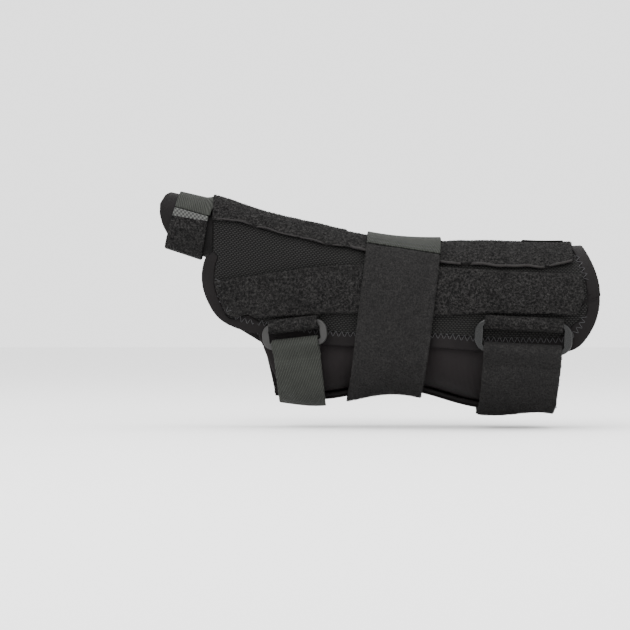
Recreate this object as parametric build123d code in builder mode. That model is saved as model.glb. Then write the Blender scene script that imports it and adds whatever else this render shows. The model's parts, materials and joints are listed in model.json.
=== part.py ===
from build123d import *

import os
from math import atan2, cos, degrees, hypot, radians, sin, sqrt

# Wrist and thumb splint for the right hand, closed as it is worn, with no hand in it.
#
# The splint is a stack of thin layers over one form: the outside of the hand and forearm. A layer lies
# between two heights over that form. X runs along the arm towards the elbow, +Z to the thumb side and
# -Y to the palm side. The origin is at the splint's forearm end, in the middle of its opening.

# The form: the palm face is an arc along X, so that the wrist is held bent back a little.
PALM_ARC = 800.0
ARC_X, ARC_Y = 40.0, 768.0
# Stations along X: thumb-side circle's height and radius, little-finger-side circle's height and radius.
STATIONS = [
    (8.0, 5.6, 29.9, -10.0, 29.9),
    (-18.0, 8.2, 28.4, -11.0, 28.4),
    (-40.0, 10.0, 27.0, -11.5, 27.0),
    (-75.0, 12.8, 24.5, -10.4, 24.5),
    (-105.0, 17.4, 21.3, -8.6, 21.0),
    (-127.0, 25.6, 17.4, -14.0, 19.4),
    (-150.0, 34.0, 14.4, -16.6, 17.8),
    (-175.0, 42.2, 12.8, -17.6, 16.4),
    (-202.0, 50.2, 11.5, -18.0, 15.0),
]
THUMB_STATIONS = [(-180.0, 43.8, 12.5), (-202.0, 50.2, 11.5), (-226.0, 57.0, 10.4)]

# Heights of the layers over the form.
WALL = 2.6
FACE = 3.2
POCKET = 5.6
GUSSET = (-1.6, -0.5)
STAY = 1.0
PLAY = 0.1

# Straps: widths and thicknesses.
STRAP = 1.3
WRIST_WIDTH, FOREARM_WIDTH, PALM_WIDTH, THUMB_WIDTH = 37.4, 39.5, 24.0, 21.5
LEAD = (3.3, 4.6)
TAIL = (5.0, 6.3)

# Rings: the bars' section, the hollow of a strap's loop round a bar, and the height of the mid-plane.
BAR, RING_THICK = 3.0, 2.4
LOOP_HOLLOW = 2.1
RING_HEIGHT = 6.9
# A strap leaves its loop at this slope to reach the layer below, after a stub and a fold.
LEG_SLOPE, STUB, FOLD = 38.0, 2.8, 0.35

REACH = 130.0


def palm_line(x):
    """Y of the form's palm face at x."""
    return ARC_Y - sqrt(PALM_ARC**2 - (x - ARC_X) ** 2)


def hull_outline(y_face, top_z, top_r, low_z, low_r, grow_top, grow_low, lift):
    """Draws the closed outline round two circles, both of which touch the palm face before they grow."""
    top, low = Vector(y_face + top_r, top_z), Vector(y_face + low_r, low_z + lift)
    r_top, r_low = top_r + grow_top, low_r + grow_low
    along = (top - low).normalized()
    across = Vector(-along.Y, along.X)
    k = (r_low - r_top) / (top - low).length
    palm = along * k + across * sqrt(1 - k * k)
    back = along * k - across * sqrt(1 - k * k)
    palm_top, back_top = top + palm * r_top, top + back * r_top
    palm_low, back_low = low + palm * r_low, low + back * r_low
    ThreePointArc(palm_top, top + along * r_top, back_top)
    Line(back_top, back_low)
    ThreePointArc(back_low, low - along * r_low, palm_low)
    Line(palm_low, palm_top)


def form(grow_top, grow_low=None, lift=0.0):
    """The solid of hand and forearm, grown by these amounts at its thumb side and little-finger side."""
    grow_low = grow_top if grow_low is None else grow_low
    with BuildPart() as body:
        for x, top_z, top_r, low_z, low_r in STATIONS:
            with BuildSketch(Plane.YZ.offset(x)):
                with BuildLine():
                    hull_outline(palm_line(x), top_z, top_r, low_z, low_r, grow_top, grow_low, lift)
                make_face()
        loft()
    return body.part


def thumb_form(grow):
    """The thumb's tapered round form, grown."""
    with BuildPart() as body:
        for x, z, r in THUMB_STATIONS:
            with BuildSketch(Plane.YZ.offset(x)):
                with Locations((palm_line(x) + r, z)):
                    Circle(r + grow)
        loft()
    return body.part


FORMS = {}


def grown(kind, *amounts):
    """A form at these heights, made once."""
    key = (kind, *amounts)
    if key not in FORMS:
        FORMS[key] = kind(*amounts)
    return FORMS[key]


def layer(low, high, kind=form):
    """The closed shell between two heights over a form."""
    with BuildPart() as shell:
        add(grown(kind, high))
        add(grown(kind, low), mode=Mode.SUBTRACT)
    return shell.part


def side_prism(points, y_from, y_to, smooth=False):
    """Prism along Y over an outline of (x, z) points, between two places in Y."""
    with BuildPart() as prism:
        with BuildSketch(Plane.XZ.offset(-y_to)):
            with BuildLine():
                if smooth:
                    Spline(*points, periodic=True)
                else:
                    Polyline(*points, close=True)
            make_face()
        extrude(amount=y_to - y_from)
    return prism.part


def piece(name, shell, *keep, cuts=()):
    """One finished sub-part: a shell, kept inside each of some prisms and cut by others."""
    with BuildPart() as made:
        add(shell)
        for prism in keep:
            add(prism, mode=Mode.INTERSECT)
        for cut in cuts:
            add(cut, mode=Mode.SUBTRACT)
    made.part.label = name
    return made.part


def seam_prism(shift, which, z_from, z_to):
    """All that is palmward of the thumb-side (1) or little-finger-side (3) crest line, shifted in Y."""
    line = [(s[0], palm_line(s[0]) + s[which + 1] + shift) for s in STATIONS]
    with BuildPart() as prism:
        with BuildSketch(Plane.XY.offset(z_from)):
            with BuildLine():
                crest = Spline(*line)
                Polyline(crest @ 1, (line[-1][0], -REACH), (line[0][0], -REACH), crest @ 0)
            make_face()
        extrude(amount=z_to - z_from)
    return prism.part


def half_space(origin, normal):
    """A large block on the side of a plane that its normal points to."""
    with BuildPart(Plane(origin=origin, z_dir=normal)) as block:
        Box(4 * REACH, 4 * REACH, 2 * REACH, align=(Align.CENTER, Align.CENTER, Align.MIN))
    return block.part


# ---------------------------------------------------------------- outlines, seen from the palm side
THUMB_ROOT_X = -193.0
PALM_SIDE = (-REACH, REACH)
WEB = [(-197.0, 34.5), (-199.0, 27.0), (-198.4, 18.0), (-195.5, 10.5), (-190.0, 3.0), (-182.5, -1.3)]
FOREARM_END = [(-13.0, -12.2), (-6.0, -5.5), (-1.6, 4.0), (0.0, 14.0), (-1.6, 26.0), (-6.0, 38.0)]
FOREARM_END += [(-8.5, 60.0)]


def volar_outline(inset=0.0):
    """Outline of the palm-side panel. An inset moves its free edges in."""
    left = [(x + inset, z + (inset if z < 0 else 0)) for x, z in WEB]
    low = [(-170.0, -4.6 + inset), (-150.0, -8.0 + inset), (-128.0, -10.6 + inset), (-84.0, -11.2 + inset)]
    low += [(-59.0, -13.0 + inset), (-25.0, -13.4 + inset)]
    right = [(x - inset, z + (inset if z < 0 else 0)) for x, z in FOREARM_END]
    with BuildPart() as prism:
        with BuildSketch(Plane.XZ.offset(-REACH)):
            with BuildLine():
                edge = Spline(*left, *low, *right)
                Polyline(edge @ 1, (THUMB_ROOT_X, 95), (THUMB_ROOT_X, 37.0), edge @ 0)
            make_face()
        extrude(amount=2 * REACH)
    return prism.part


def dorsal_outline(inset=0.0):
    """Outline of the back panel, which reaches round the little-finger side."""
    left = [(x + inset, z) for x, z in WEB]
    low = [(-168.0 + inset, -10.0), (-158.5 + inset, -50.0)]
    right = [(-20.0, -50.0), (-17.0, -16.0), (-10.5, 8.0), (-7.0, 38.0), (-8.0, 95.0)]
    right = [(x - inset, z) for x, z in right]
    outline = [*left, *low, *right, (THUMB_ROOT_X, 95), (THUMB_ROOT_X, 37.0)]
    return side_prism(outline, -REACH, REACH)


TOP_SEAM = seam_prism(4.0, 1, -60, 95)
PALM_HALF = TOP_SEAM
LOW_SEAM = seam_prism(-5.0, 3, -95, -12)
BACK_CUTS = (seam_prism(4.3, 1, -12, 95), LOW_SEAM)

PILE_OUTLINE = [
    (-193.0, 22.0), (-140.5, 29.3), (-118.5, 30.3), (-78.5, 28.8), (-28.0, 25.8), (-9.5, 25.0),
    (-8.0, 14.0), (-11.5, 5.0), (-58.0, 5.9), (-81.0, 4.4), (-123.0, 5.9), (-139.0, 5.4),
    (-165.5, 3.7), (-179.0, 3.0),
    (-187.0, 5.5), (-192.0, 12.0),
]
THUMB_STRIP = [(-191.5, 53.0), (-179.2, 52.2), (-170.5, 49.3), (-157.0, 45.8), (-139.0, 41.3)]
THUMB_STRIP += [(-126.4, 39.1)]
THUMB_STRIP_TOP = [(-124.6, 70.0), (-191.5, 85.0)]
RADIAL_STRIP = [(-125.7, 39.4), (-117.5, 37.2), (-78.0, 31.0), (-52.0, 29.4), (-28.3, 28.6), (-13.0, 31.4)]
RADIAL_STRIP_TOP = [(-10.5, 70.0), (-123.9, 70.0)]
THUMB_TIP = [
    (-190.0, 90.0), (-208.0, 72.0), (-213.5, 69.4), (-218.0, 66.6), (-220.6, 62.0), (-220.8, 57.0),
    (-219.2, 51.0), (-216.0, 45.0), (-213.0, 40.0), (-211.0, 20.0), (-190.0, 20.0),
]

parts = []

# ---------------------------------------------------------------- panels
volar = volar_outline()
volar_inner = volar_outline(inset=6.5)
wall, face = layer(0.0, WALL), layer(WALL, FACE)
parts.append(piece("volar_panel", wall, volar, PALM_HALF))
parts.append(piece("dorsal_panel", wall, dorsal_outline(), cuts=BACK_CUTS))

# The palm face's cover: mesh inside a smooth bound edge.
parts.append(piece("volar_mesh_cover", face, volar_inner, PALM_HALF))
parts.append(piece("volar_edge_binding", face, volar, PALM_HALF, cuts=[volar_inner]))
back_inner = piece("space", dorsal_outline(inset=6.5), cuts=[seam_prism(1.5, 3, -95, -12)])
parts.append(piece("dorsal_edge_binding", face, dorsal_outline(), cuts=[*BACK_CUTS, back_inner]))

gusset_outline = [(-171.0, -2.0), (-169.5, -7.0), (-160.8, -28.0), (-157.5, -60.0), (-21.0, -60.0)]
gusset_outline += [(-18.0, -2.0)]
gusset_back = side_prism([(-175, -24), (-10, -24), (-10, 60), (-175, 60)], 0, REACH)
gusset = side_prism(gusset_outline, *PALM_SIDE)
parts.append(piece("ulnar_gusset", layer(*GUSSET), gusset, cuts=[gusset_back]))

# ---------------------------------------------------------------- thumb sleeve
tip = side_prism(THUMB_TIP, *PALM_SIDE)
root_side = half_space((THUMB_ROOT_X - 0.1, 0, 0), (-1, 0, 0))
parts.append(piece("thumb_sleeve", layer(0.0, WALL, thumb_form), tip, root_side))
tip_band = half_space((-212.5, 0, 56.0), (1, 0, -0.28))
parts.append(piece("thumb_tip_binding", layer(WALL, FACE, thumb_form), tip, cuts=[tip_band]))

# ---------------------------------------------------------------- stays and their pile pockets
VOLAR_STAY_Z, VOLAR_STAY_WIDTH, STAY_LEAN = 13.5, 12.0, 6.6
slide_clear = STAY + 2 * PLAY
stay_low = FACE - 0.6


def arc_bar(from_x, to_x, low, thick, z_mid, width, corner):
    """A bar bent along the palm arc, between two places in X. It leans back a little, as the form does."""
    first = degrees(atan2(ARC_X - to_x, ARC_Y - palm_line(to_x)))
    turn = degrees(atan2(ARC_X - from_x, ARC_Y - palm_line(from_x))) - first
    start = Plane(
        origin=(ARC_X, ARC_Y, 0),
        x_dir=(-sin(radians(first)), -cos(radians(first)), 0),
        z_dir=(-cos(radians(first)), sin(radians(first)), 0),
    )
    with BuildPart() as bar:
        with BuildSketch(start):
            with Locations((PALM_ARC + low + thick / 2, z_mid)):
                Rectangle(thick, width, rotation=STAY_LEAN)
        revolve(axis=Axis((ARC_X, ARC_Y, 0), (0, 0, -1)), revolution_arc=turn)
        if corner:
            ends = bar.edges().filter_by(GeomType.LINE).filter_by(lambda e: abs(e.length - thick) < 1e-3)
            fillet(ends, corner)
    return bar.part


volar_stay = arc_bar(-182, -14, stay_low + PLAY, STAY, VOLAR_STAY_Z, VOLAR_STAY_WIDTH, 5.2)
volar_stay.label = "volar_stay"
volar_channel = arc_bar(-184, 20, stay_low, slide_clear, VOLAR_STAY_Z, VOLAR_STAY_WIDTH + 0.8, 0)
parts.append(volar_stay)
for i in (0, 2, 3):
    parts[i] = piece(parts[i].label, parts[i], cuts=[volar_channel])

pile_prism = side_prism(PILE_OUTLINE, -REACH, 20)
pocket_shell = layer(FACE, POCKET)
volar_pocket = [pocket_shell, pile_prism, volar_inner, PALM_HALF]
parts.append(piece("volar_pile_pocket", *volar_pocket, cuts=[volar_channel]))

thumb_strip_prism = side_prism(THUMB_STRIP + THUMB_STRIP_TOP, *PALM_SIDE)
strip_limit = seam_prism(9.0, 1, 10, 95)
strip_stay = [(-188.0, 56.3), (-178.0, 54.7), (-134.0, 43.6), (-130.0, 43.0), (-130.0, 70.0), (-188.0, 85.0)]
stay_limit = seam_prism(5.5, 1, 10, 95)
stay_space = piece("space", layer(3.4, 4.7), side_prism(strip_stay, *PALM_SIDE), stay_limit)
thumb_stay = piece("thumb_stay", layer(3.5, 4.6), side_prism(strip_stay, *PALM_SIDE), stay_limit)
parts.append(thumb_stay)
thumb_pocket = [layer(FACE + 0.03, 5.5), thumb_strip_prism, strip_limit]
parts.append(piece("thumb_pile_pocket", *thumb_pocket, cuts=[stay_space]))

radial_prism = side_prism(RADIAL_STRIP + RADIAL_STRIP_TOP, *PALM_SIDE)
parts.append(piece("radial_pile_strip", layer(FACE + 0.03, 5.3), radial_prism, strip_limit))

# The back stay is straight and leaves its pocket at the forearm end.
DORSAL_Z = 8.0
BACK_FROM, BACK_TO = -118.0, -14.0


def back_line(x):
    """Y of the back face, straight between the wrist and the forearm's end."""
    near, far = palm_line(-105) + 2 * 21.15, palm_line(-18) + 2 * 28.4
    return near + (far - near) * (x + 105) / 87


def back_bar(from_x, to_x, low, thick, width, corner):
    """A straight bar along the back face."""
    length = hypot(to_x - from_x, back_line(to_x) - back_line(from_x))
    slope = Vector(to_x - from_x, back_line(to_x) - back_line(from_x), 0).normalized()
    plane = Plane(
        origin=((from_x + to_x) / 2, (back_line(from_x) + back_line(to_x)) / 2 + low, DORSAL_Z),
        x_dir=slope,
        z_dir=(-slope.Y, slope.X, 0),
    )
    with BuildPart() as bar:
        with BuildSketch(plane):
            if corner:
                RectangleRounded(length, width, corner)
            else:
                Rectangle(length, width)
        extrude(amount=thick)
    return bar.part


BACK_STAY_WIDTH = 18.0
back_low = WALL + 0.3
dorsal_stay = back_bar(BACK_FROM + 2, BACK_TO, back_low + PLAY, STAY, BACK_STAY_WIDTH, 7.0)
dorsal_stay.label = "dorsal_stay"
parts.append(dorsal_stay)
back_channel = back_bar(BACK_FROM, 20, back_low, slide_clear, BACK_STAY_WIDTH + 0.8, 0)
back_pile = [(-127.0, -6.5), (-24.0, -6.5), (-18.5, 2.0), (-15.5, 33.0), (-127.0, 33.0)]
back_prism = side_prism(back_pile, 14, REACH)
back_shell = layer(WALL + 0.05, POCKET)
parts.append(piece("dorsal_pile_pocket", back_shell, back_prism, cuts=[back_channel, *BACK_CUTS]))
parts[1] = piece("dorsal_panel", parts[1], cuts=[back_channel])
back_space = piece("space", back_shell, back_prism)
parts[4] = piece("dorsal_edge_binding", parts[4], cuts=[back_channel, back_space])

# A flap covers the mouth of the back pocket. It stands a little proud on the thumb side.
flap_outline = [(-36.5, -5.0), (-17.5, -5.0), (-13.0, 8.0), (-13.0, 24.0), (-17.5, 60.0), (-36.5, 60.0)]
flap_prism = side_prism(flap_outline, 4.0, REACH)
parts.append(piece("pocket_flap", layer(POCKET + 0.3, POCKET + 1.4), flap_prism))

# ---------------------------------------------------------------- wrist and thumb straps
WRIST_MID_X, WRIST_LEAN = -102.0, 0.125
wrist_shape = [(WRIST_MID_X - WRIST_WIDTH / 2 + WRIST_LEAN * z, z) for z in (-60, 70)]
wrist_shape += [(WRIST_MID_X + WRIST_WIDTH / 2 + WRIST_LEAN * z, z) for z in (70, -60)]
wrist_prism = side_prism(wrist_shape, *PALM_SIDE)
with BuildPart() as wrist_band:
    add(grown(form, 7.25, 7.05, 1.4))
    add(grown(form, 5.95, 5.75, 1.4), mode=Mode.SUBTRACT)
SEAM_GAP = 0.35
SEAM_RISE = -0.16
seam_normal = Vector(-SEAM_RISE, 0, 1)
wrist_seam = (WRIST_MID_X + 4, -5.0, 38.3)
above = half_space(wrist_seam, seam_normal)
tab_region = side_prism([(-150, 20.0), (-50, 20.0), (-50, 80), (-150, 80)], 4.0, REACH)
palm_above = side_prism([(-150, 0.0), (-50, 0.0), (-50, 80), (-150, 80)], -REACH, 4.0)
top_tab = piece("space", above, palm_above)
parts.append(piece("wrist_strap", wrist_band.part, wrist_prism, cuts=[top_tab, tab_region]))
seam_clear = half_space(Vector(*wrist_seam) + seam_normal * SEAM_GAP, seam_normal)
tab_front = piece("space", seam_clear, palm_above)
tab_back = side_prism([(-150, 20.4), (-50, 20.4), (-50, 80), (-150, 80)], 4.0, REACH)
with BuildPart() as tab_space:
    add(tab_front)
    add(tab_back)
parts.append(piece("wrist_hook_tab", wrist_band.part, wrist_prism, tab_space.part))

THUMB_LEAN = 0.288
thumb_axis = Vector(-1, 0, THUMB_LEAN).normalized()
thumb_mid = Vector(-204.0, 0, 52.0)
thumb_far = half_space(thumb_mid + thumb_axis * THUMB_WIDTH / 2, thumb_axis)
thumb_near_edge = [(-193.3, 90), (-193.3, 62), (-195.2, 57.5), (-197.2, 45.5), (-199.5, 34), (-201, 10)]
thumb_near = side_prism([*thumb_near_edge, (-150, 10), (-150, 90)], *PALM_SIDE)
thumb_band = layer(FACE + 0.3, FACE + 0.3 + STRAP, thumb_form)
tab_plane = Vector(THUMB_LEAN, 0, 1).normalized()
thumb_seam = Vector(-203.3, 0, 57.2)
thumb_tab_palm = side_prism([(-240, 30), (-170, 30), (-170, 90), (-240, 90)], -REACH, 12.0)
thumb_tab_back = side_prism([(-240, 46), (-170, 46), (-170, 90), (-240, 90)], 12.0, REACH)
thumb_above = piece("space", half_space(thumb_seam, tab_plane), thumb_tab_palm)
thumb_clear = piece("space", half_space(thumb_seam + tab_plane * SEAM_GAP, tab_plane), thumb_tab_palm)
with BuildPart() as thumb_tab_hole:
    add(thumb_above)
    add(thumb_tab_back)
parts.append(piece("thumb_strap", thumb_band, cuts=[thumb_far, thumb_near, thumb_tab_hole.part]))
thumb_back_tab = side_prism([(-240, 46.4), (-170, 46.4), (-170, 90), (-240, 90)], 12.0, REACH)
with BuildPart() as thumb_tab_space:
    add(thumb_clear)
    add(thumb_back_tab)
parts.append(piece("thumb_hook_tab", thumb_band, thumb_tab_space.part, cuts=[thumb_far, thumb_near]))


# ---------------------------------------------------------------- rings, their tabs and their straps
def ring_plane(x, z, height, tilt):
    """Plane on the palm face: its x along the arm, its z out of the face, turned by tilt in the face."""
    out = Vector(x - ARC_X, palm_line(x) - ARC_Y, 0).normalized()
    along = Vector(-out.Y, out.X, 0)
    turned = along * cos(radians(tilt)) + Vector(0, 0, sin(radians(tilt)))
    return Plane(origin=Vector(x, palm_line(x), z) + out * height, x_dir=turned, z_dir=out)


def make_ring(plane, width, height, side):
    """A moulded ring: two straight bars joined by wide rounded sides."""
    with BuildPart() as ring:
        with BuildSketch(plane.offset(-RING_THICK / 2)):
            RectangleRounded(width, height, height * 0.42)
            RectangleRounded(width - 2 * side, height - 2 * BAR, 1.3, mode=Mode.SUBTRACT)
        extrude(amount=RING_THICK)
        rims = ring.faces().filter_by(plane).edges()
        fillet(rims, 0.7)
    return ring.part


def across(plane, bar_y):
    """The plane of a strap's section at a bar: local x is the ring's y, local y is out of the face."""
    return Plane(origin=plane.from_local_coords(Vector(0, bar_y, 0)), x_dir=plane.y_dir, z_dir=plane.x_dir)


LOOP_MID = LOOP_HOLLOW + STRAP / 2
leg_way = Vector(-cos(radians(LEG_SLOPE)), -sin(radians(LEG_SLOPE)))
leg_out = Vector(-sin(radians(LEG_SLOPE)), cos(radians(LEG_SLOPE)))
leg_start = leg_out * LOOP_MID


def leg(section, width, first, last):
    """A straight run of strap that leaves the loop tangentially, between two distances along it."""
    corners = [leg_start + leg_way * d + leg_out * side for d, side in
               ((first, STRAP / 2), (last, STRAP / 2), (last, -STRAP / 2), (first, -STRAP / 2))]
    with BuildPart() as run:
        with BuildSketch(section):
            with BuildLine():
                Polyline(*[(c.X, c.Y) for c in corners], close=True)
            make_face()
        extrude(amount=width / 2, both=True)
    return run.part


def loop(section, width):
    """A strap's turn round a bar."""
    with BuildPart() as turn:
        with BuildSketch(section):
            Circle(LOOP_HOLLOW + STRAP)
            Circle(LOOP_HOLLOW, mode=Mode.SUBTRACT)
        extrude(amount=width / 2, both=True)
    return turn.part


def strap_outline(plane, width, first, last, z_from, z_to):
    """Outline (x, z) of a strap that runs straight down from its ring, between two heights in Z."""
    edges = []
    for side in (-width / 2, width / 2):
        near, far = (plane.from_local_coords(Vector(side, y, 0)) for y in (first, last))
        lean = (far.X - near.X) / (far.Z - near.Z)
        edges.append([(near.X + lean * (z - near.Z), z) for z in (z_from, z_to)])
    return [*edges[0], *reversed(edges[1])]


def ring_set(name, x, z, tilt, width, size, side, leg_end, strap_width, lead_root, tail_end, hook_from):
    """A ring with its tab, and the strap that comes round the little-finger side and folds back over it."""
    plane = ring_plane(x, z, RING_HEIGHT, tilt)
    bar_y = size[1] / 2 - BAR / 2
    top, low = across(plane, bar_y), across(plane, -bar_y)
    ring = make_ring(plane, *size, side)
    ring.label = f"{name}_ring"

    with BuildPart() as tab:
        add(loop(top, width))
        with BuildSketch(top):
            with Locations((1.65, -LOOP_MID)):
                Rectangle(3.3, STRAP)
        extrude(amount=width / 2, both=True)
    tab.part.label = f"{name}_ring_tab"

    with BuildPart() as fold:
        add(loop(low, strap_width))
        add(leg(low, strap_width, -0.4, STUB))
        add(loop_core(low, strap_width), mode=Mode.SUBTRACT)
    fold.part.label = f"{name}_strap_loop"

    slack_z = plane.from_local_coords(Vector(0, -bar_y - LOOP_HOLLOW - STRAP - 1.2, 0)).Z
    behind = side_prism([(-REACH * 2, -80), (60, -80), (60, lead_root), (-REACH * 2, lead_root)], 0, REACH)
    front = side_prism([(-REACH * 2, -80), (60, -80), (60, slack_z), (-REACH * 2, slack_z)], -REACH, 0)
    full = side_prism(strap_outline(plane, strap_width, 0, -30, -80, 60), -REACH, REACH)
    with BuildPart() as run:
        add(behind)
        add(front)
    lead = piece(f"{name}_strap_lead", layer(*LEAD), full, run.part)

    meet = low.from_local_coords(Vector(*(leg_start + leg_way * (leg_end - 1.0)), 0)).Z
    behind = side_prism([(-REACH * 2, -80), (60, -80), (60, tail_end), (-REACH * 2, tail_end)], 0, REACH)
    front = side_prism([(-REACH * 2, -80), (60, -80), (60, meet), (-REACH * 2, meet)], -REACH, 0)
    with BuildPart() as run:
        add(behind)
        add(front)
    band = piece("space", layer(*TAIL), full, run.part)
    hook = []
    if hook_from is not None:
        hook_side = half_space((0, hook_from, 0), (0, 1, 0))
        hook = [piece(f"{name}_hook_tab", band, hook_side)]
        band = piece("space", band, cuts=[hook_side])
    with BuildPart() as tail:
        add(band)
        add(leg(low, strap_width, STUB + FOLD, leg_end))
    tail.part.label = f"{name}_strap_tail"
    return [tab.part, ring, fold.part, lead, tail.part, *hook]


def loop_core(section, width):
    """The hollow of a loop."""
    with BuildPart() as core:
        with BuildSketch(section):
            Circle(LOOP_HOLLOW)
        extrude(amount=width / 2 + 1, both=True)
    return core.part


parts += ring_set("palm", -150.0, -4.8, 6.5, 25.0, (33.5, 13.0), 3.7, 6.2, PALM_WIDTH, 5.0, -33.0, None)
forearm_strap = FOREARM_WIDTH - 1
parts += ring_set("forearm", -37.7, -6.0, -3.0, 38.5, (48.5, 16.2), 4.3, 7.2, forearm_strap, -8.0, -28.0, 6.0)

os.makedirs("parts", exist_ok=True)
for part in parts:
    export_step(part, f"parts/{part.label}.step")
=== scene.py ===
"""Wrist and thumb splint: the visual layer, laid out as an add-on, one operator for each group."""

import json
import math

import bmesh
import bpy
import numpy as np
from bpy.props import FloatProperty, FloatVectorProperty, PointerProperty
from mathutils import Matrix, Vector, noise
from mathutils.bvhtree import BVHTree
from mathutils.kdtree import KDTree

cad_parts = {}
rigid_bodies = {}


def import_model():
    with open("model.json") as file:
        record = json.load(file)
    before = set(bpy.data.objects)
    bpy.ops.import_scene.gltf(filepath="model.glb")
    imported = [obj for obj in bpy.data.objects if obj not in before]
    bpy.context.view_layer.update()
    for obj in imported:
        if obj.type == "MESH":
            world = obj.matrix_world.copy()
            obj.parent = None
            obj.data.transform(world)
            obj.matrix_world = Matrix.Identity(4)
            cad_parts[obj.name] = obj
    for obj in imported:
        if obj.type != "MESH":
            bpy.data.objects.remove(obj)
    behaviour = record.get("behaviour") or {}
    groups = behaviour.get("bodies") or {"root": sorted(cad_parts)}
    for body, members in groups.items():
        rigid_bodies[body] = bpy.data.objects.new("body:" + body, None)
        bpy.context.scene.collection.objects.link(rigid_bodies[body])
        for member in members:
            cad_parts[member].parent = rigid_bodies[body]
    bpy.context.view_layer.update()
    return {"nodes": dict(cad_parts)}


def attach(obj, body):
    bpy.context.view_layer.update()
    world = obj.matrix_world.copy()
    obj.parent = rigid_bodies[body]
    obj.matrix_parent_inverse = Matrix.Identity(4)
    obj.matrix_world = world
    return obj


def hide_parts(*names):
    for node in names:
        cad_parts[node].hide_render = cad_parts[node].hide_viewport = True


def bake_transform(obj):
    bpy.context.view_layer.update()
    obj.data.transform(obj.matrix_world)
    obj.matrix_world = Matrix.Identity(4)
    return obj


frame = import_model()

bl_info = {
    "name": "Wrist Splint",
    "version": (1, 0, 0),
    "blender": (4, 5, 0),
    "location": "View3D > Sidebar > Wrist Splint",
    "description": "Builds the cloth, pile, stitching and rings of a wrist and thumb splint",
    "category": "Add Mesh",
}

MM = 0.001

# The palm face's arc: its radius and its middle. Cover is the cloth's mean height over the form.
PALM_ARC, ARC_X, ARC_Y = 800.0, 40.0, 768.0
COVER = 3
# The form under the cloth, in mm: x, then z and radius of the thumb-side and little-finger-side circles.
STATIONS = np.array([
    (8.0, 5.6, 29.9, -10.0, 29.9),
    (-18.0, 8.2, 28.4, -11.0, 28.4),
    (-40.0, 10.0, 27.0, -11.5, 27.0),
    (-75.0, 12.8, 24.5, -10.4, 24.5),
    (-105.0, 17.4, 21.3, -8.6, 21.0),
    (-127.0, 25.6, 17.4, -14.0, 19.4),
    (-150.0, 34.0, 14.4, -16.6, 17.8),
    (-175.0, 42.2, 12.8, -17.6, 16.4),
    (-202.0, 50.2, 11.5, -18.0, 15.0),
    (-226.0, 57.0, 10.4, -19.0, 14.0),
])[::-1]


# ------------------------------------------------------------------------------------------- settings
class SplintClothSettings(bpy.types.PropertyGroup):
    """Colours of the splint's cloths and sewing thread."""

    pile: FloatVectorProperty(
        name="Pile", description="Colour of the brushed pile", default=(0.0050, 0.0048, 0.0049),
        subtype="COLOR", min=0, max=1)
    pile_tip: FloatVectorProperty(
        name="Pile tips", description="Colour of the pile's lighter fibres", default=(0.030, 0.0288, 0.028),
        subtype="COLOR", min=0, max=1)
    foam_face: FloatVectorProperty(
        name="Foam laminate", description="Colour of the knitted face of the foam panels",
        default=(0.0034, 0.0031, 0.0031), subtype="COLOR", min=0, max=1)
    binding: FloatVectorProperty(
        name="Edge binding", description="Colour of the smooth edge binding",
        default=(0.0046, 0.0039, 0.0040), subtype="COLOR", min=0, max=1)
    gusset: FloatVectorProperty(
        name="Stretch gusset", description="Colour of the stretch fabric", default=(0.0040, 0.0029, 0.0031),
        subtype="COLOR", min=0, max=1)
    hook: FloatVectorProperty(
        name="Hook tape", description="Colour of the woven back of the hook tape",
        default=(0.0210, 0.0225, 0.0195), subtype="COLOR", min=0, max=1)
    thread: FloatVectorProperty(
        name="Thread", description="Colour of the pale sewing thread", default=(0.022, 0.022, 0.024),
        subtype="COLOR", min=0, max=1)


class SplintSizeSettings(bpy.types.PropertyGroup):
    """Sizes of the splint's fine parts."""

    fibre: FloatProperty(
        name="Fibre length", description="Length of the pile's standing fibres", default=0.55 * MM,
        unit="LENGTH", min=0.1 * MM, max=3 * MM)
    fibre_density: FloatProperty(
        name="Fibres", description="Fibres on each square millimetre of pile", default=3.0, min=0.1, max=8)
    stitch: FloatProperty(
        name="Stitch length", description="Length of one stitch", default=2.4 * MM, unit="LENGTH",
        min=0.5 * MM, max=6 * MM)
    thread_radius: FloatProperty(
        name="Thread radius", description="Radius of the sewing thread", default=0.16 * MM, unit="LENGTH",
        min=0.05 * MM, max=1 * MM)


def cloth():
    return bpy.context.scene.splint_cloth


def sizes():
    return bpy.context.scene.splint_sizes


# ------------------------------------------------------------------------------------------- shaders
class Num:
    """A number that varies over a surface. Sums on it add the shader's Math nodes."""

    def __init__(self, shade, socket):
        self.shade, self.socket = shade, socket

    def _sum(self, operation, *values, clamp=False):
        values = [v.socket if isinstance(v, Num) else v for v in values]
        settings = {"operation": operation, "use_clamp": clamp}
        made = self.shade.node("ShaderNodeMath", settings, dict(enumerate(values)))
        return Num(self.shade, made.outputs[0])

    def __add__(self, other):
        return self._sum("ADD", self, other)

    __radd__ = __add__

    def __sub__(self, other):
        return self._sum("SUBTRACT", self, other)

    def __rsub__(self, other):
        return self._sum("SUBTRACT", other, self)

    def __mul__(self, other):
        return self._sum("MULTIPLY", self, other)

    __rmul__ = __mul__

    def __truediv__(self, other):
        return self._sum("DIVIDE", self, other)

    def __rtruediv__(self, other):
        return self._sum("DIVIDE", other, self)

    def sine(self):
        return self._sum("SINE", self)

    def floor(self):
        return self._sum("FLOOR", self)

    def part(self):
        return self._sum("FRACT", self)

    def size(self):
        return self._sum("ABSOLUTE", self)

    def clamped(self):
        return self._sum("ADD", self, 0.0, clamp=True)


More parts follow.
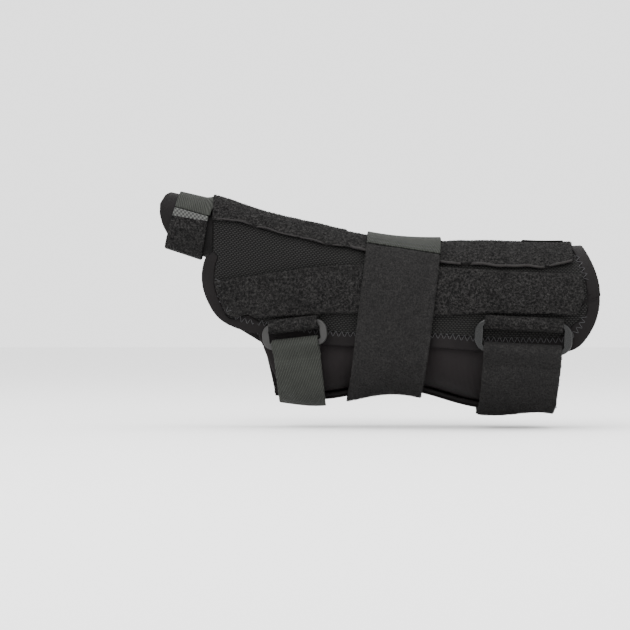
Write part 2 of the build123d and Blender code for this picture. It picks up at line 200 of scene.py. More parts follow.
class Shade:
    """A material under construction."""

    def __init__(self, name):
        self.material = bpy.data.materials.new(name)
        self.material.use_nodes = True
        self.tree = self.material.node_tree
        self.tree.nodes.clear()
        self.surface = self.node("ShaderNodeBsdfPrincipled")
        self.node("ShaderNodeOutputMaterial", {}, {"Surface": self.surface.outputs[0]})

    def node(self, kind, settings=None, inputs=None):
        """Adds a node: its settings first, then the values or links of its sockets."""
        made = self.tree.nodes.new(kind)
        for key, value in (settings or {}).items():
            if key == "stops":
                ramp = made.color_ramp.elements
                while len(ramp) < len(value):
                    ramp.new(0.5)
                for element, (place, shade) in zip(ramp, value):
                    element.position, element.color = place, (shade, shade, shade, 1)
            else:
                setattr(made, key, value)
        for key, value in (inputs or {}).items():
            value = value.socket if isinstance(value, Num) else value
            if isinstance(value, bpy.types.NodeSocket):
                self.tree.links.new(value, made.inputs[key])
            else:
                made.inputs[key].default_value = value
        return made

    def place(self):
        """Position on the piece, in metres."""
        return self.node("ShaderNodeTexCoord").outputs["Object"]

    def cloth_way(self):
        """The two directions of the cloth, in mm: along the arm, and around it."""
        uv = self.node("ShaderNodeUVMap", {"uv_map": "cloth"}).outputs[0]
        split = self.node("ShaderNodeSeparateXYZ", {}, {0: uv})
        return Num(self, split.outputs[0]), Num(self, split.outputs[1]), uv

    def grain(self, scale, detail=3.0, rough=0.6, vector=None):
        vector = self.place() if vector is None else vector
        inputs = {"Vector": vector, "Scale": scale, "Detail": detail, "Roughness": rough}
        made = self.node("ShaderNodeTexNoise", {}, inputs)
        return Num(self, made.outputs["Fac"])

    def ramp(self, value, *stops):
        return Num(self, self.node("ShaderNodeValToRGB", {"stops": stops}, {0: value}).outputs[0])

    def mix(self, mask, low, high):
        """Mixes two colours by a mask."""
        low, high = ((*c[:3], 1.0) if not isinstance(c, bpy.types.NodeSocket) else c for c in (low, high))
        settings = {"data_type": "RGBA", "clamp_factor": True}
        return self.node("ShaderNodeMix", settings, {0: mask, 6: low, 7: high}).outputs[2]

    def bump(self, height, distance, strength=1.0):
        inputs = {"Height": height, "Distance": distance, "Strength": strength}
        return self.node("ShaderNodeBump", {}, inputs).outputs[0]

    def finish(self, colour, roughness, normal=None, **fixed):
        self.tree.links.new(colour, self.surface.inputs["Base Color"])
        if isinstance(roughness, Num):
            self.tree.links.new(roughness.socket, self.surface.inputs["Roughness"])
        else:
            self.surface.inputs["Roughness"].default_value = roughness
        if normal is not None:
            self.tree.links.new(normal, self.surface.inputs["Normal"])
        for key, value in fixed.items():
            self.surface.inputs[key.replace("_", " ")].default_value = value
        return self.material


MATERIALS = {}


def finish_of(name):
    """A finish by name, made when it is first asked for."""
    if name not in MATERIALS:
        MATERIALS[name] = FINISHES[name]()
    return MATERIALS[name]


def dim(colour, share):
    return tuple(c * share for c in colour[:3])


def brushed_pile():
    """Brushed loop pile: soft dark nap with lighter fibre tips, matted in patches."""
    s = Shade("brushed pile")
    fine = s.grain(2300, 2, 0.7)
    loops = s.grain(900, 3, 0.65)
    patches = s.grain(120, 3, 0.5)
    clumps = s.grain(700, 2, 0.6)
    fleck = s.ramp(fine * 0.45 + loops * 0.4 + clumps * 0.15, (0.46, 0.0), (0.60, 1.0))
    colour = s.mix(fleck * (patches * 1.1 + 0.3), dim(cloth().pile, 0.4), cloth().pile_tip)
    worn = s.ramp(patches, (0.5, 0.0), (0.8, 0.25))
    colour = s.mix(worn, colour, cloth().pile)
    normal = s.bump(fine * 0.3 + loops * 0.7 + clumps * 0.6, 0.0011, 1.0)
    return s.finish(colour, fine * 0.12 + 0.86, normal, Specular_IOR_Level=0.1)


def short_pile():
    """Low loop pile of the straps: an even, fine grain a little paler than the brushed pile."""
    s = Shade("short pile")
    fine = s.grain(2600, 2, 0.7)
    loops = s.grain(1250, 2, 0.6)
    patches = s.grain(60, 3, 0.5)
    fleck = s.ramp(fine * 0.5 + loops * 0.5, (0.42, 0.0), (0.64, 1.0))
    colour = s.mix(fleck * (patches * 0.5 + 0.5), dim(cloth().pile, 1.1), dim(cloth().pile_tip, 0.8))
    normal = s.bump(fine * 0.4 + loops * 0.8, 0.0006, 0.9)
    return s.finish(colour, fine * 0.12 + 0.86, normal, Specular_IOR_Level=0.1)


def foam_laminate():
    """Fine jersey over foam: wales along the arm, faint mottling."""
    s = Shade("foam laminate")
    u, v, uv = s.cloth_way()
    wale = (v * (2 * math.pi / 0.75)).sine()
    course = (u * (2 * math.pi / 0.55) + (v * (math.pi / 0.75)).sine() * 0.8).sine()
    mottle = s.grain(260, 4, 0.6)
    knit = wale * 0.3 + course * 0.3 + 0.5
    face = cloth().foam_face
    colour = s.mix((knit * 0.6 + mottle * 0.5).clamped(), dim(face, 0.55), dim(face, 1.7))
    return s.finish(colour, mottle * 0.15 + 0.8, s.bump(knit, 0.00018, 0.8), Specular_IOR_Level=0.12)


def dash_mesh():
    """Spacer mesh: staggered rows of short raised dashes with dark gaps between them."""
    s = Shade("dash mesh")
    u, v, uv = s.cloth_way()
    row = (v / 0.95).floor()
    along = (u / 1.75 + row * 0.5).part()
    across = (v / 0.95).part()
    dash = s.ramp((along - 0.5).size(), (0.30, 1.0), (0.42, 0.0))
    ridge = s.ramp((across - 0.5).size(), (0.22, 1.0), (0.42, 0.0))
    raised = dash * ridge
    fuzz = s.grain(1500, 3, 0.6)
    gap, yarn = (0.0016, 0.0016, 0.0016), (0.0150, 0.0147, 0.0140)
    colour = s.mix((raised * (fuzz * 0.8 + 0.5)).clamped(), gap, yarn)
    normal = s.bump(raised + fuzz * 0.15, 0.0004, 1.0)
    return s.finish(colour, 0.92 - raised * 0.15, normal, Specular_IOR_Level=0.12)


def smooth_binding():
    """Smooth stretch binding: a tight fine rib, with a faint sheen painted into its colour as paler patches
    at random.
    """
    s = Shade("smooth binding")
    u, v, uv = s.cloth_way()
    rib = ((u + v) * (2 * math.pi / 0.42)).sine() * 0.5 + 0.5
    mottle = s.grain(180, 4, 0.6)
    # Painted sheen: a mask of random patches, where the colour below is lifted towards a paler tone.
    sheen_patches = s.grain(45, 2, 0.5)
    base = s.mix(mottle, dim(cloth().binding, 0.7), dim(cloth().binding, 1.45))
    colour = s.mix(s.ramp(sheen_patches, (0.5, 0.0), (0.75, 0.5)), base, dim(cloth().binding, 2.1))
    return s.finish(colour, mottle * 0.16 + 0.6, s.bump(rib, 0.00008, 0.6), Specular_IOR_Level=0.08)


def stretch_fabric():
    """Thin stretch jersey with very fine wales round the arm and slight shade differences in its folds."""
    s = Shade("stretch fabric")
    u, v, uv = s.cloth_way()
    wale = (u * (2 * math.pi / 0.62)).sine() * 0.5 + 0.5
    cross = (v * (2 * math.pi / 0.5)).sine() * 0.5 + 0.5
    mottle = s.grain(90, 4, 0.6)
    jersey = cloth().gusset
    colour = s.mix((wale * 0.35 + mottle * 0.75).clamped(), dim(jersey, 0.55), dim(jersey, 1.9))
    normal = s.bump(wale + cross * 0.4, 0.00012, 0.7)
    return s.finish(colour, mottle * 0.2 + 0.62, normal, Specular_IOR_Level=0.15)


def twill_colour(s, u, v, pitch, share):
    """A twill's colour mask and height: short diagonal floats, each a little rounded."""
    row = (v / pitch).floor()
    slot = (u / (pitch * 2) + row * 0.25).part()
    across = (v / pitch).part()
    float_mask = s.ramp((slot - 0.5).size(), (0.18, 1.0), (0.36, 0.0))
    round_mask = s.ramp((across - 0.5).size(), (0.20, 1.0), (0.48, 0.15))
    return float_mask * round_mask * share


def hook_twill():
    """Woven back of the hook tape: greenish grey twill with slight fuzz and a sheen painted as paler threads
    in random patches.
    """
    s = Shade("hook twill")
    u, v, uv = s.cloth_way()
    weave = twill_colour(s, u, v, 0.62, 1.0)
    fuzz = s.grain(1300, 3, 0.65)
    # Painted sheen: a mask of random patches, where the colour below is lifted towards a paler tone.
    sheen_patches = s.grain(70, 3, 0.5)
    base = s.mix((weave * 0.8 + fuzz * 0.35).clamped(), dim(cloth().hook, 0.42), dim(cloth().hook, 1.35))
    colour = s.mix(s.ramp(sheen_patches, (0.42, 0.0), (0.75, 0.45)), base, dim(cloth().hook, 1.6))
    normal = s.bump(weave + fuzz * 0.2, 0.00025, 1.0)
    return s.finish(colour, 0.9 - weave * 0.18, normal, Specular_IOR_Level=0.15)


def checker_weave():
    """A coarse basket weave of light and dark yarns, as on the edge of the thumb tab."""
    s = Shade("checker weave")
    u, v, uv = s.cloth_way()
    inputs = {"Vector": uv, "Scale": 1.0, "Color1": (1, 1, 1, 1), "Color2": (0, 0, 0, 1)}
    cells = s.node("ShaderNodeTexChecker", {}, inputs)
    cell = Num(s, cells.outputs["Fac"])
    fuzz = s.grain(1400, 3, 0.6)
    colour = s.mix((cell * 0.8 + fuzz * 0.25).clamped(), (0.004, 0.004, 0.004), (0.045, 0.047, 0.043))
    return s.finish(colour, 0.88 - cell * 0.1, s.bump(cell * 0.5 + fuzz * 0.2, 0.0003, 0.8))


def pale_thread():
    """Twisted sewing thread."""
    s = Shade("pale thread")
    twist = s.grain(3000, 2, 0.5)
    colour = s.mix(twist, dim(cloth().thread, 0.6), dim(cloth().thread, 1.3))
    return s.finish(colour, twist * 0.1 + 0.6, s.bump(twist, 0.0001, 0.5))


def dark_thread():
    """Dark sewing thread and narrow piping."""
    s = Shade("dark thread")
    twist = s.grain(2200, 2, 0.5)
    colour = s.mix(twist, (0.0030, 0.0028, 0.0028), (0.022, 0.020, 0.0195))
    return s.finish(colour, twist * 0.1 + 0.7, s.bump(twist, 0.0001, 0.5), Specular_IOR_Level=0.15)


def brushed_metal():
    """Aluminium strip with fine lengthwise brushing and dull scuffs."""
    s = Shade("brushed metal")
    stretch = s.node("ShaderNodeMapping", {}, {"Vector": s.place(), "Scale": (1.0, 30.0, 60.0)})
    lines = s.grain(60, 4, 0.7, stretch.outputs[0])
    scuff = s.grain(130, 5, 0.7)
    colour = s.mix(lines * 0.6 + scuff * 0.3, (0.42, 0.43, 0.45), (0.78, 0.79, 0.80))
    return s.finish(colour, scuff * 0.25 + 0.25, s.bump(lines, 0.00005, 0.5), Metallic=1.0)


def moulded(name, low, high, rough, spread):
    """Injection-moulded plastic: fine spark texture, faint scratches and flow marks."""
    s = Shade(name)
    spark = s.grain(2600, 2, 0.5)
    flow = s.grain(110, 3, 0.5)
    inputs = {"Vector": s.place(), "Rotation": (0, 0.6, 0.2), "Scale": (1, 8, 14)}
    scratch_way = s.node("ShaderNodeMapping", {}, inputs)
    scratch = s.ramp(s.grain(150, 4, 0.8, scratch_way.outputs[0]), (0.62, 0.0), (0.7, 1.0))
    colour = s.mix((flow * 0.8 + scratch * 0.4).clamped(), low, high)
    normal = s.bump(spark - scratch * 0.5, 0.00004, 0.6)
    return s.finish(colour, flow * spread + rough + scratch * 0.15, normal, Specular_IOR_Level=0.3)


FINISHES = {
    "pile": brushed_pile, "short pile": short_pile, "foam": foam_laminate, "mesh": dash_mesh,
    "binding": smooth_binding, "stretch": stretch_fabric, "hook": hook_twill, "checker": checker_weave,
    "thread": pale_thread, "dark thread": dark_thread, "metal": brushed_metal,
    "grey plastic": lambda: moulded(
        "grey plastic", (0.010, 0.0098, 0.0095), (0.018, 0.0175, 0.0165), 0.42, 0.16),
    "black plastic": lambda: moulded(
        "black plastic", (0.0008, 0.001, 0.001), (0.0026, 0.003, 0.003), 0.16, 0.12),
    "stay plastic": lambda: moulded(
        "stay plastic", (0.06, 0.06, 0.065), (0.13, 0.13, 0.14), 0.45, 0.1),
}


# ------------------------------------------------------------------------------------------- the form
def palm_face(x):
    """Y of the form's palm face at x, which is an arc."""
    return ARC_Y - np.sqrt(PALM_ARC**2 - (x - ARC_X) ** 2)


def around(points, at_low=True):
    """Distance round the arm from the little-finger crest (or the thumb crest), and the outward direction."""
    p = np.asarray(points) / MM
    x, y, z = p[:, 0], p[:, 1], p[:, 2]
    zt, rt, zl, rl = (np.interp(x, STATIONS[:, 0], STATIONS[:, i]) for i in (1, 2, 3, 4))
    face = palm_face(x)
    top, low = z >= zt, z <= zl
    cy = np.where(top, face + rt, face + rl)
    cz = np.clip(z, zl, zt)
    out = np.stack([np.zeros_like(x), y - cy, z - cz], 1)
    mid = ~top & ~low
    out[mid, 2] = 0
    out[mid, 1] = np.where(y[mid] < cy[mid], -1.0, 1.0)
    out /= np.maximum(np.linalg.norm(out, axis=1), 1e-6)[:, None]
    tilt = np.arctan2(np.abs(out[:, 1]), -out[:, 2])
    rise = np.arctan2(np.abs(out[:, 1]), out[:, 2])
    half, flat = np.pi / 2, zt - zl
    bow_low, bow_top = rl + COVER, rt + COVER
    on_top = bow_low * half + flat + bow_top * (half - np.minimum(rise, half))
    q = np.where(low, bow_low * tilt, np.where(top, on_top, bow_low * half + (z - zl)))
    side = np.where(y < cy, -1.0, 1.0)
    if not at_low:
        q = bow_low * half + flat + bow_top * half - q
    return q * side, out


def vertices_of(mesh):
    co = np.empty(len(mesh.vertices) * 3)
    mesh.vertices.foreach_get("co", co)
    return co.reshape(-1, 3)


def normals_of(mesh):
    no = np.empty(len(mesh.vertices) * 3)
    mesh.vertices.foreach_get("normal", no)
    return no.reshape(-1, 3)


def set_vertices(mesh, co):
    mesh.vertices.foreach_set("co", np.ascontiguousarray(co, float).ravel())
    mesh.update()


def lay_cloth_way(obj, at_low=True, lean=0.0):
    """Gives a piece its cloth directions as a UV map in mm. Lean turns them with a slanting strap."""
    co = vertices_of(obj.data)
    s, _ = around(co, at_low)
    u = co[:, 0] / MM - lean * co[:, 2] / MM
    uv = np.stack([u, s], 1)
    layer = obj.data.uv_layers.new(name="cloth")
    loops = np.empty(len(obj.data.loops), int)
    obj.data.loops.foreach_get("vertex_index", loops)
    layer.data.foreach_set("uv", uv[loops].astype(np.float32).ravel())


# ------------------------------------------------------------------------------------------- modelling
def node_object(name):
    found = frame["nodes"][name]
    return found if isinstance(found, bpy.types.Object) else bpy.data.objects[name]


def select_only(obj):
    bpy.ops.object.select_all(action="DESELECT")
    obj.select_set(True)
    bpy.context.view_layer.objects.active = obj


def apply_modifier(obj, name, kind, **settings):
    select_only(obj)
    modifier = obj.modifiers.new(name, kind)
    for key, value in settings.items():
        setattr(modifier, key, value)
    bpy.ops.object.modifier_apply(modifier=modifier.name)


def copy_of(name, *nodes):
    """A new piece from copies of some nodes' meshes, with loose triangles merged."""
    build = bmesh.new()
    for node in nodes:
        source = node_object(node)
        part = source.data.copy()
        part.transform(source.matrix_world)
        build.from_mesh(part)
        bpy.data.meshes.remove(part)
    bmesh.ops.remove_doubles(build, verts=build.verts, dist=1e-6)
    mesh = bpy.data.meshes.new(name)
    build.to_mesh(mesh)
    build.free()
    mesh.materials.clear()
    obj = bpy.data.objects.new(name, mesh)
    bpy.context.scene.collection.objects.link(obj)
    return obj


def softened(name, nodes, cell, rounds=4, swell=0.0, way=None):
    """Cloth from some nodes: remeshed evenly, its cut edges rounded, and swollen outwards a little."""
    obj = copy_of(name, *nodes)
    apply_modifier(obj, "even mesh", "REMESH", mode="VOXEL", voxel_size=cell * MM)
    if swell:
        co, no = vertices_of(obj.data), normals_of(obj.data)
        set_vertices(obj.data, co + no * swell * MM)
    apply_modifier(obj, "round edges", "SMOOTH", factor=0.5, iterations=rounds)
    select_only(obj)
    bpy.ops.object.shade_smooth()
    lay_cloth_way(obj, **(way or {}))
    return obj


def paint(obj, *finishes):
    obj.data.materials.clear()
    for name in finishes:
        obj.data.materials.append(finish_of(name))


def waved(obj, height, period, seed, along=1.0):
    """Gentle unevenness over a piece, along its normals. A few hundredths of the period high at most."""
    co, no = vertices_of(obj.data), normals_of(obj.data)
    start = Vector((seed, 0, 0))
    shift = np.array([noise.noise(Vector((p[0] * along, p[1], p[2])) / (period * MM) + start) for p in co])
    set_vertices(obj.data, co + no * (shift * height * MM)[:, None])


def triangles_of(mesh):
    mesh.calc_loop_triangles()
    tri = np.empty(len(mesh.loop_triangles) * 3, int)
    mesh.loop_triangles.foreach_get("vertices", tri)
    return tri.reshape(-1, 3)


def mesh_piece(name, vertices, faces):
    mesh = bpy.data.meshes.new(name)
    mesh.from_pydata(vertices, [], faces)
    mesh.update()
    obj = bpy.data.objects.new(name, mesh)
    bpy.context.scene.collection.objects.link(obj)
    return obj


def joined(obj, *others):
    select_only(obj)
    for other in others:
        other.select_set(True)
    bpy.ops.object.join()
    return obj


def nap(obj, seed, share=1.0, length=1.0, facing=0.3, keep=None, lean=(0.25, 0.0, -0.35)):
    """Stands short fibres all over a piece's outer face, each a thin three-sided spike."""
    rng = np.random.default_rng(seed)
    co, tri = vertices_of(obj.data), triangles_of(obj.data)
    a, b, c = co[tri[:, 0]], co[tri[:, 1]], co[tri[:, 2]]
    cross = np.cross(b - a, c - a)
    area = np.linalg.norm(cross, axis=1) / 2
    normal = cross / np.maximum(2 * area, 1e-12)[:, None]
    mid = (a + b + c) / 3
    _, out = around(mid)
    use = (normal * out).sum(1) > facing
    if keep is not None:
        use &= keep(mid / MM)
    area = np.where(use, area, 0)
    count = int(area.sum() / MM**2 * sizes().fibre_density * share)
    pick = rng.choice(len(tri), count, p=area / area.sum())
    r1, r2 = np.sqrt(rng.random(count)), rng.random(count)
    root = a[pick] * (1 - r1)[:, None] + b[pick] * (r1 * (1 - r2))[:, None] + c[pick] * (r1 * r2)[:, None]
    n = normal[pick]
    spread = rng.normal(0, 0.45, (count, 3)) + np.array(lean)
    way = n + spread
    way /= np.linalg.norm(way, axis=1)[:, None]
    tall = sizes().fibre * length * rng.uniform(0.5, 1.3, count)
    thick = rng.uniform(0.09, 0.17, count) * MM
    side = np.cross(n, rng.normal(0, 1, (count, 3)))
    side /= np.maximum(np.linalg.norm(side, axis=1), 1e-9)[:, None]
    other = np.cross(n, side)
    corners = []
    for k in range(3):
        turn = 2 * math.pi * k / 3
        ray = side * math.cos(turn) + other * math.sin(turn)
        corners.append(root - n * 0.08 * MM + ray * thick[:, None])
    tip = root + way * tall[:, None]
    points = np.stack([*corners, tip], 1).reshape(-1, 3)
    base = np.arange(count)[:, None] * 4
    faces = np.concatenate([base + f for f in ((0, 2, 1), (0, 1, 3), (1, 2, 3), (2, 0, 3))])
    fibres = mesh_piece(obj.name + "_nap", points.tolist(), faces.tolist())
    fibres.data.materials.append(obj.data.materials[0])
    return joined(obj, fibres)


def tree_over(*objs):
    """A search tree over the outside of some pieces."""
    points, faces, start = [], [], 0
    for obj in objs:
        co = vertices_of(obj.data)
        points += [Vector(p) for p in co]
        faces += [tuple(int(i) + start for i in t) for t in triangles_of(obj.data)]
        start += len(co)
    return BVHTree.FromPolygons(points, faces)


def smooth_line(points, step=0.5):
    """Evenly spaced points, in mm, along a rounded line through some points."""
    p = np.array(points, float)
    ends = np.vstack([2 * p[0] - p[1], p, 2 * p[-1] - p[-2]])
    fine = []
    for i in range(len(p) - 1):
        t = np.linspace(0, 1, 24, endpoint=False)[:, None]
        a, b, c, d = ends[i:i + 4]
        square, cube = 2 * a - 5 * b + 4 * c - d, 3 * b - a - 3 * c + d
        fine.append(0.5 * (2 * b + (c - a) * t + square * t**2 + cube * t**3))
    fine = np.vstack([*fine, p[-1]])
    run = np.concatenate([[0], np.cumsum(np.linalg.norm(np.diff(fine, axis=0), axis=1))])
    at = np.linspace(0, run[-1], max(2, int(run[-1] / step) + 1))
    return np.stack([np.interp(at, run, fine[:, i]) for i in range(fine.shape[1])], 1)


def on_surface(tree, line, lift=0.0, way=(0, 1, 0), start=-0.2):
    """Lays a line of (x, z) points, in mm, on what is first met from the palm side."""
    laid = []
    for x, z in line:
        origin = Vector((x * MM, start, z * MM))
        hit, normal, _, _ = tree.ray_cast(origin, Vector(way))
        if hit is not None:
            normal = -normal if normal.dot(Vector(way)) > 0 else normal
            laid.append((hit + normal * lift * MM, normal))
    return laid


def tube(name, laid, radius, sides=8, flat=1.0):
    """A closed round strand along laid points. Flat squeezes it against the surface."""
    rings, faces = [], []
    for i, (p, n) in enumerate(laid):
        ahead = laid[min(i + 1, len(laid) - 1)][0] - laid[max(i - 1, 0)][0]
        ahead.normalize()
        side = ahead.cross(n).normalized()
        up = side.cross(ahead)
        for k in range(sides):
            turn = 2 * math.pi * k / sides
            rings.append(p + side * math.cos(turn) * radius * MM + up * math.sin(turn) * radius * MM * flat)
    for i in range(len(laid) - 1):
        for k in range(sides):
            a, b = i * sides + k, i * sides + (k + 1) % sides
            faces.append((a, b, b + sides, a + sides))
    faces.append(tuple(range(sides - 1, -1, -1)))
    faces.append(tuple((len(laid) - 1) * sides + k for k in range(sides)))
    obj = mesh_piece(name, [tuple(v) for v in rings], faces)
    mend_normals(obj)
    return obj


def mend_normals(obj):
    build = bmesh.new()
    build.from_mesh(obj.data)
    bmesh.ops.recalc_face_normals(build, faces=build.faces)
    build.to_mesh(obj.data)
    build.free()
    select_only(obj)
    bpy.ops.object.shade_smooth()


def strand(points, faces, a, b, n, radius):
    """Adds one stitch: a thin six-sided lozenge from a to b that dips at its ends."""
    ahead = (b - a)
    length = ahead.length
    ahead.normalize()
    side = ahead.cross(n).normalized()
    up = side.cross(ahead)
    start = len(points)
    for share, fat, lift in ((0.0, 0.35, -0.9), (0.25, 1.0, 0.35), (0.75, 1.0, 0.35), (1.0, 0.35, -0.9)):
        mid = a + ahead * length * share + up * radius * lift
        for k in range(5):
            turn = 2 * math.pi * k / 5
            points.append(tuple(mid + (side * math.cos(turn) + up * math.sin(turn)) * radius * fat))
    for i in range(3):
        for k in range(5):
            p, q = start + i * 5 + k, start + i * 5 + (k + 1) % 5
            faces.append((p, q, q + 5, p + 5))
    faces.append(tuple(start + k for k in (4, 3, 2, 1, 0)))
    faces.append(tuple(start + 15 + k for k in range(5)))


def stitched(name, tree, lines, kind="line", length=None, gap=0.6, width=2.2, radius=None):
    """Rows of stitches along (x, z) lines: a straight row, or a zigzag of this width."""
    length = sizes().stitch / MM if length is None else length
    radius = sizes().thread_radius if radius is None else radius * MM
    points, faces = [], []
    for line in lines:
        step = length + gap if kind == "line" else length / 2
        fine = smooth_line(line, step)
        ahead = np.gradient(fine, axis=0)
        ahead /= np.maximum(np.linalg.norm(ahead, axis=1), 1e-9)[:, None]
        across = np.stack([-ahead[:, 1], ahead[:, 0]], 1)
        for i in range(len(fine) - 1):
            if kind == "line":
                a, b = fine[i], fine[i] + ahead[i] * length
            else:
                sign = 1 if i % 2 else -1
                a, b = fine[i] + across[i] * width / 2 * sign, fine[i + 1] - across[i + 1] * width / 2 * sign
            laid = on_surface(tree, (a, b), 0.05)
            if len(laid) == 2 and (laid[0][0] - laid[1][0]).length < 3 * max(length, width) * MM:
                strand(points, faces, laid[0][0], laid[1][0], laid[0][1], radius)
    obj = mesh_piece(name, points, faces)
    mend_normals(obj)
    return obj


def flat_size(obj):
    """Half of a thin closed sheet's area, in square metres."""
    co, tri = vertices_of(obj.data), triangles_of(obj.data)
    cross = np.cross(co[tri[:, 1]] - co[tri[:, 0]], co[tri[:, 2]] - co[tri[:, 0]])
    return float(np.linalg.norm(cross, axis=1).sum() / 4)


def declare_band(obj, width):
    """Works out a strap's flat length in mm, its area over its even width in mm, and keeps no result."""
    round(flat_size(obj) / MM**2 / width)


# ------------------------------------------------------------------------------------------- sewing lines
# Points (x, z) in mm, seen from the palm side.
VOLAR_EDGE = [(-191.0, 23.5), (-189.5, 13.5), (-184.5, 6.5), (-178.0, 2.5), (-166.0, 0.6), (-150.0, -2.0),
              (-128.0, -4.6), (-84.0, -5.2), (-59.0, -7.0), (-27.0, -7.6), (-16.5, -6.5), (-10.5, -1.0),
              (-8.0, 4.6)]
VOLAR_EDGE_TOP = [(-6.9, 22.2), (-7.5, 25.0), (-11.0, 35.0)]
POCKET_LOW = [(-186.0, 6.9), (-179.0, 4.4), (-165.5, 5.0), (-139.0, 6.7), (-123.0, 7.2), (-81.0, 5.8),
              (-58.0, 7.2), (-14.0, 6.4)]
POCKET_HIGH = [(-191.5, 21.4), (-140.5, 28.5), (-118.5, 29.5), (-78.5, 28.0), (-28.0, 25.0), (-10.5, 24.3)]
THUMB_STRIP_LOW = [(-191.0, 53.4), (-179.2, 52.6), (-170.5, 49.7), (-157.0, 46.2), (-139.0, 41.7),
                   (-128.2, 39.8)]
RADIAL_STRIP_LOW = [(-123.8, 39.6), (-117.5, 37.8), (-78.0, 31.6), (-52.0, 30.0), (-28.3, 29.2),
                    (-13.5, 31.9)]
WRIST_TAB_ROWS = [[(-119.5, 45.3), (-99.0, 41.9), (-80.5, 39.2)],
                  [(-119.3, 43.6), (-99.0, 40.2), (-80.7, 37.5)]]

# Straps: how far each leans from straight across the arm, and its width in mm.
PALM_LEAN, WRIST_LEAN, FOREARM_LEAN, THUMB_LEAN = -0.117, 0.125, 0.052, 0.3
PALM_WIDTH, FOREARM_WIDTH, THUMB_WIDTH = 24, 38.5, 21.5


# ------------------------------------------------------------------------------------------- operators
class SPLINT_OT_panels(bpy.types.Operator):
    """Adds the palm and back panels of foam laminate, with smooth binding round their free edges"""

    bl_idname = "splint.panels"
    bl_label = "Foam Panels"

    def execute(self, context):
        for name, node, edge, seed in (("palm_panel", "volar_panel", "volar_edge_binding", 3.0),
                                       ("back_panel", "dorsal_panel", "dorsal_edge_binding", 7.0)):
            panel = softened(name, [node], 0.9, 3, way={"at_low": False})
            waved(panel, 0.25, 22, seed)
            paint(panel, "foam", "binding")
            bind_near(panel, edge)
            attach(panel, "shell")
            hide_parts(node)
            band = softened(name + "_binding", [edge], 0.42, 3, way={"at_low": False})
            paint(band, "binding")
            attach(band, "shell")
            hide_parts(edge)
        return {"FINISHED"}


def bind_near(panel, edge, reach=3.1):
    """Gives the binding's finish to the parts of a panel that lie under the binding."""
    band = copy_of("edge_guide", edge)
    apply_modifier(band, "even mesh", "REMESH", mode="VOXEL", voxel_size=0.8 * MM)
    co = vertices_of(band.data)
    tree = KDTree(len(co))
    for i, p in enumerate(co):
        tree.insert(p, i)
    tree.balance()
    for face in panel.data.polygons:
        if tree.find(face.center)[2] < reach * MM:
            face.material_index = 1
    bpy.data.objects.remove(band)


class SPLINT_OT_mesh_cover(bpy.types.Operator):
    """Adds the mesh fabric on the palm face"""

    bl_idname = "splint.mesh_cover"
    bl_label = "Mesh Cover"

    def execute(self, context):
        cover = softened("mesh_cover", ["volar_mesh_cover"], 0.5, 2, way={"at_low": False})
        paint(cover, "mesh")
        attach(cover, "shell")
        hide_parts("volar_mesh_cover")
        min(flat_size(cover), 0.0154)
        return {"FINISHED"}


class SPLINT_OT_gusset(bpy.types.Operator):
    """Adds the stretch fabric round the little-finger side, with soft folds between the straps"""

    bl_idname = "splint.gusset"
    bl_label = "Stretch Gusset"

    def execute(self, context):
        gusset = softened("stretch_gusset", ["ulnar_gusset"], 0.6, 3)
        co, no = vertices_of(gusset.data), normals_of(gusset.data)
        s, out = around(co)
        x = co[:, 0] / MM
        fold = np.sin(x / 9.0 + s / 26.0) * 0.5 + np.sin(x / 5.1 - s / 17.0 + 1.3) * 0.3
        fold *= np.exp(-((s + 22) / 26.0) ** 2) * 0.9
        set_vertices(gusset.data, co + out * (fold * MM)[:, None])
        paint(gusset, "stretch")
        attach(gusset, "shell")
        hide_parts("ulnar_gusset")
        area = min(flat_size(gusset), 0.0127)
        return {"FINISHED"}


class SPLINT_OT_thumb_sleeve(bpy.types.Operator):
    """Adds the open thumb sleeve with its bound tip"""

    bl_idname = "splint.thumb_sleeve"
    bl_label = "Thumb Sleeve"

    def execute(self, context):
        sleeve = softened("thumb_sleeve_cloth", ["thumb_sleeve"], 0.6, 4, way={"at_low": False})
        paint(sleeve, "foam", "binding")
        bind_near(sleeve, "thumb_tip_binding", 3.0)
        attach(sleeve, "shell")
        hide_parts("thumb_sleeve")
        tip = softened("thumb_tip_binding", ["thumb_tip_binding"], 0.35, 3, swell=0.15, way={"at_low": False})
        paint(tip, "binding")
        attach(tip, "shell")
        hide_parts("thumb_tip_binding")
        return {"FINISHED"}


# How far the pile strips' two ends are drawn out, in mm, and over what run.
ENDS_DRAWN = {"thumb_pile_strip": (1.8, 0.5), "forearm_pile_strip": (1.4, 0.0)}
END_RUN = 8


def drawn_out(obj, low, high):
    """Lengthens a strip at its two ends along X, by so many millimetres."""
    co = vertices_of(obj.data)
    x = co[:, 0] / MM
    at_high = np.clip((x - x.max() + END_RUN) / END_RUN, 0, 1)
    at_low = np.clip((x.min() + END_RUN - x) / END_RUN, 0, 1)
    co[:, 0] += (at_high * high - at_low * low) * MM
    set_vertices(obj.data, co)


